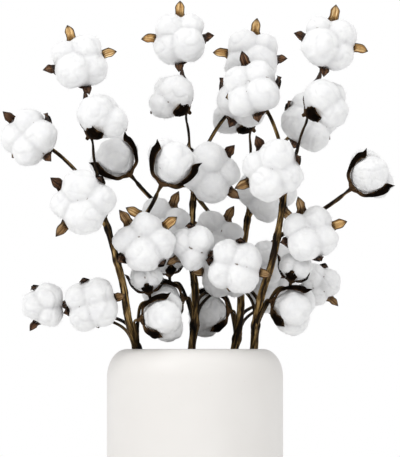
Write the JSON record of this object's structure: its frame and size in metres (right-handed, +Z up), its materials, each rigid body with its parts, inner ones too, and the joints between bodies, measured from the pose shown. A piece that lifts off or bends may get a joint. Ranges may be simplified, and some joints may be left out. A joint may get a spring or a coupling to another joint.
{
  "type": "cotton stem bunch in a vase",
  "caption": "Branching dried cotton stems with open white bolls in dark pointed burrs, standing in a plain round off-white ceramic vase.",
  "frame": {"origin": "centre of the vase's flat foot", "axes": "+Z up along the vase's axis, -Y towards the front, +X to the viewer's right"},
  "size_m": [0.3872, 0.2243, 0.5406],
  "materials": {
    "vase_glaze": "off-white satin ceramic glaze",
    "stem_wood": "dry olive-brown bark, dark brown burrs, golden inside the valves",
    "cotton": "soft matte white cotton fibre"
  },
  "bodies": {
    "root": {"vase": "vase_glaze", "stem_1": "stem_wood", "stem_2": "stem_wood", "stem_3": "stem_wood", "stem_4": "stem_wood", "cotton_1_01": "cotton", "cotton_1_02": "cotton", "cotton_1_03": "cotton", "cotton_1_04": "cotton", "cotton_1_05": "cotton", "cotton_1_06": "cotton", "cotton_1_07": "cotton", "cotton_1_08": "cotton", "cotton_1_09": "cotton", "cotton_1_10": "cotton", "cotton_2_01": "cotton", "cotton_2_02": "cotton", "cotton_2_03": "cotton", "cotton_2_04": "cotton", "cotton_2_05": "cotton", "cotton_2_06": "cotton", "cotton_2_07": "cotton", "cotton_2_08": "cotton", "cotton_2_09": "cotton", "cotton_2_10": "cotton", "cotton_3_01": "cotton", "cotton_3_02": "cotton", "cotton_3_03": "cotton", "cotton_3_04": "cotton", "cotton_3_05": "cotton", "cotton_3_06": "cotton", "cotton_3_07": "cotton", "cotton_3_08": "cotton", "cotton_3_09": "cotton", "cotton_3_10": "cotton", "cotton_4_01": "cotton", "cotton_4_02": "cotton", "cotton_4_03": "cotton", "cotton_4_04": "cotton", "cotton_4_05": "cotton", "cotton_4_06": "cotton", "cotton_4_07": "cotton", "cotton_4_08": "cotton", "cotton_4_09": "cotton", "cotton_4_10": "cotton"}
  },
  "joints": []
}
